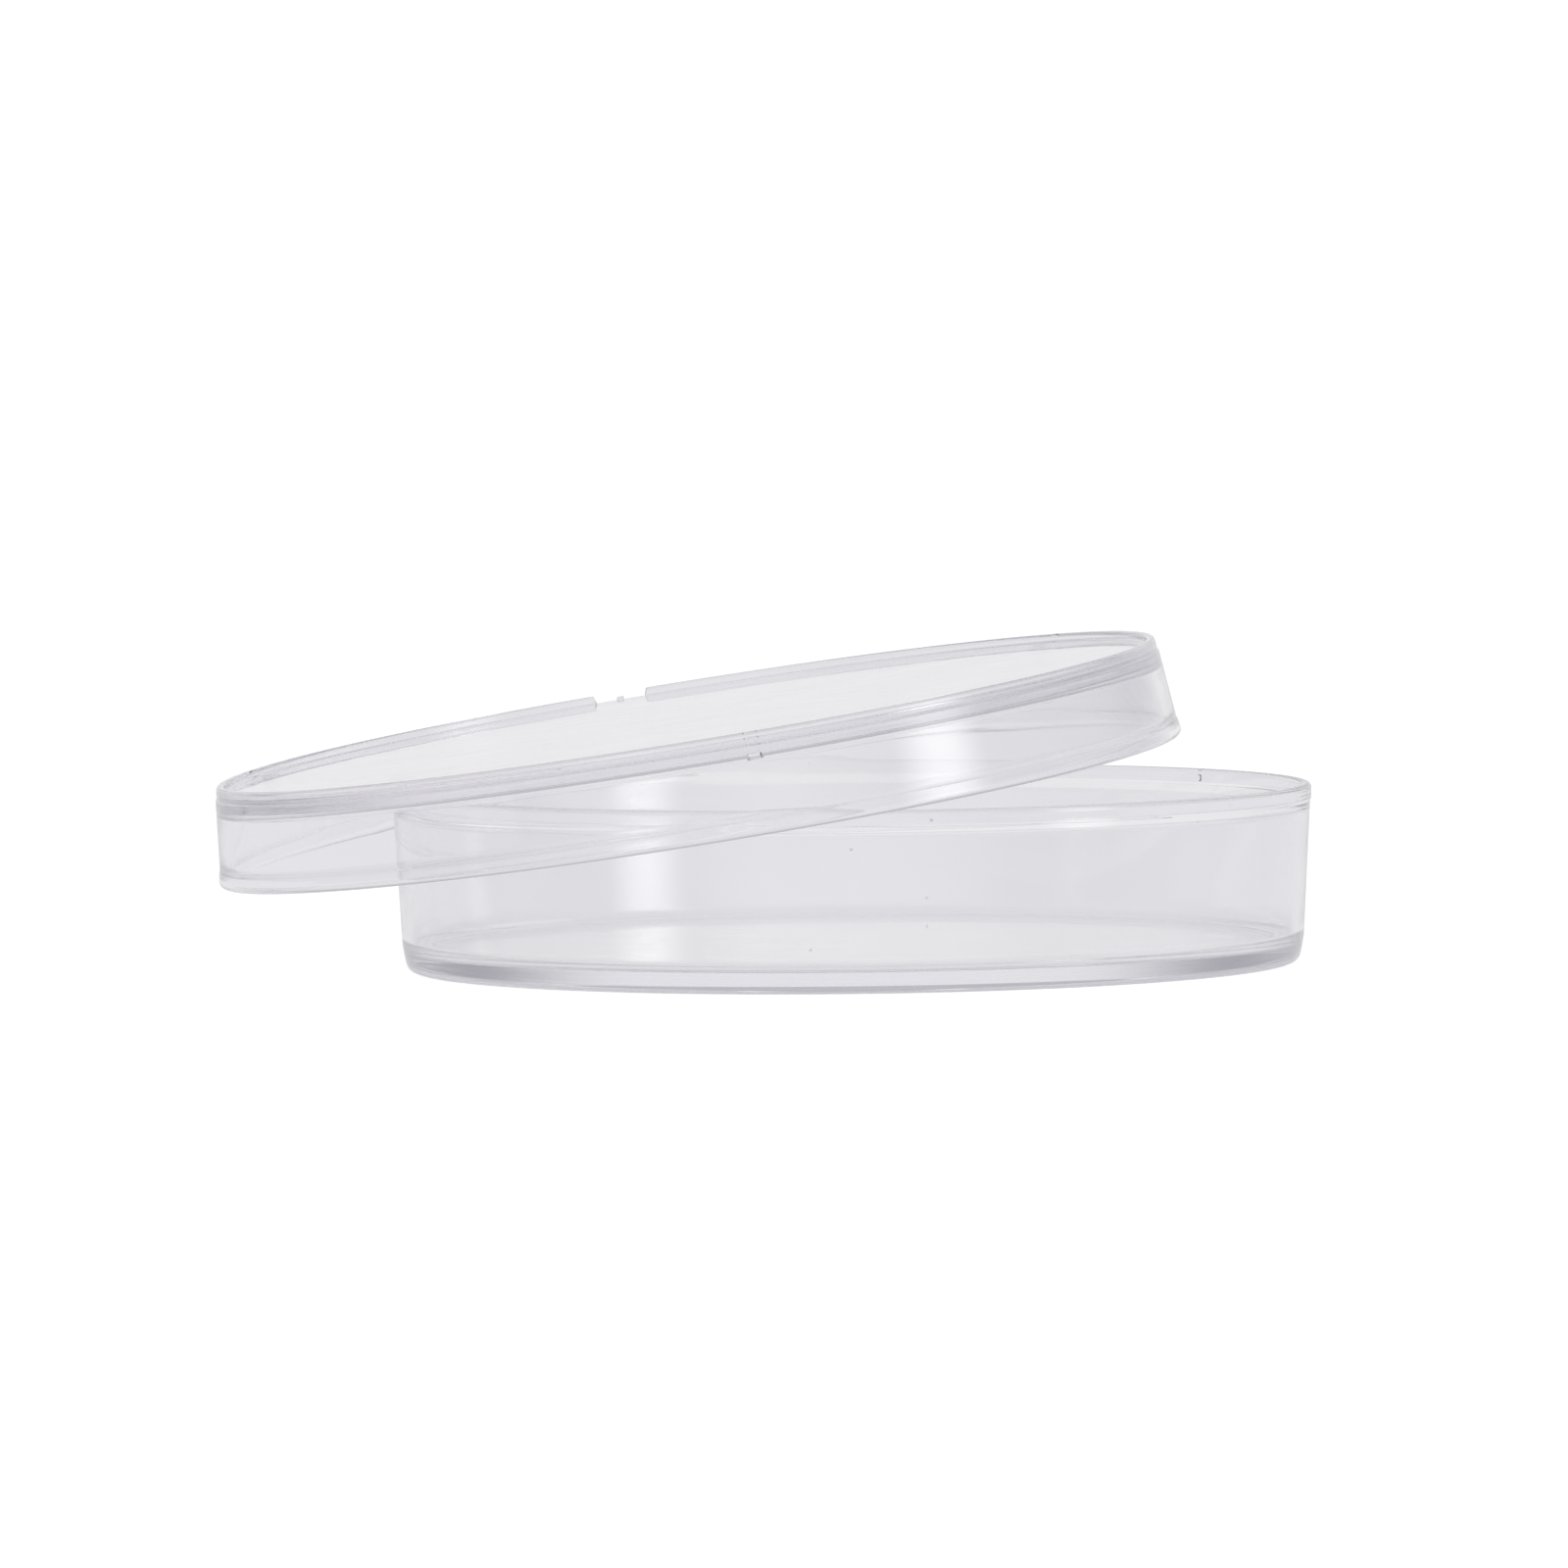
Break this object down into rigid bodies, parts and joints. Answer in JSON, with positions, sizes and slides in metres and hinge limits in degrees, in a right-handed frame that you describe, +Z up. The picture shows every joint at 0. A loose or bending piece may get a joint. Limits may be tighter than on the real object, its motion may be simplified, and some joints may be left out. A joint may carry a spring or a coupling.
{
  "type": "petri dish",
  "caption": "Shallow round clear plastic dish with its vented, ridged lid lying ajar across the rim.",
  "frame": {"origin": "centre of the dish's foot ring, on the surface it stands on", "axes": "+Z up along the dish's axis; the lid is pushed off centre towards -X and its +X side is raised"},
  "size_m": [0.1071, 0.0953, 0.0321],
  "materials": {
    "dish_clear": "clear, polished",
    "lid_clear": "clear, polished"
  },
  "bodies": {
    "dish": {"dish_base": "dish_clear"},
    "lid": {"lid": "lid_clear"}
  },
  "joints": [
    {"name": "lid_lift", "type": "slide", "parent": "dish", "child": "lid", "axis": [0, 0, 1], "range_m": [0, 0.06]}
  ]
}
